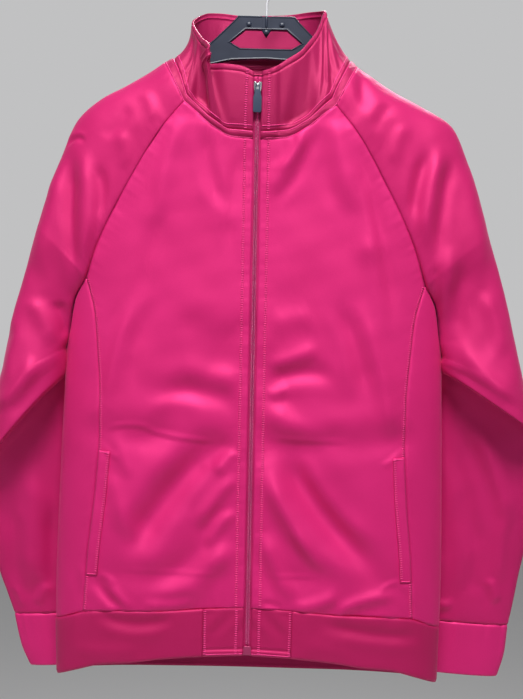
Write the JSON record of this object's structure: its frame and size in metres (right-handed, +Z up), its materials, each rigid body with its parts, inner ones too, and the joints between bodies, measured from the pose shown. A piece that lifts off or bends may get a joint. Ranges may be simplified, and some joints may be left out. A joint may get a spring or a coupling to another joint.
{
  "type": "track jacket on a hanger",
  "caption": "Zipped long-sleeved track jacket with a standing collar and side pockets, hung on a flat plastic hanger.",
  "frame": {"origin": "inside top of the hook, where the rail carries it", "axes": "+X to the viewer's right, front faces -Y, +Z up"},
  "size_m": [0.6516, 0.1138, 0.8411],
  "materials": {
    "cloth": "satin",
    "rib": "satin",
    "zip_tape": "matte",
    "zip_metal": "satin",
    "pull_grip": "matte",
    "hanger_plastic": "satin",
    "hook_wire": "polished"
  },
  "bodies": {
    "jacket": {"front_left": "cloth", "side_panel_left": "cloth", "sleeve_left": "cloth", "cuff_left": "rib", "hem_patch_left": "rib", "pocket_welt_left": "cloth", "zip_tape_left": "zip_tape", "front_right": "cloth", "side_panel_right": "cloth", "sleeve_right": "cloth", "cuff_right": "rib", "hem_patch_right": "rib", "pocket_welt_right": "cloth", "zip_tape_right": "zip_tape", "back": "cloth", "neck_band": "rib", "collar": "rib", "hem_band": "rib", "zip_slider": "zip_metal", "zip_box": "zip_metal", "hanger": "hanger_plastic", "hanger_hook": "hook_wire"},
    "pull_tab": {"zip_pull": "pull_grip"}
  },
  "joints": [
    {"name": "pull_tab_swing", "type": "hinge", "parent": "jacket", "child": "pull_tab", "pos_m": [-0.00792, -0.05, -0.153], "axis": [-1, 0, 0], "range_deg": [0, 165]}
  ]
}
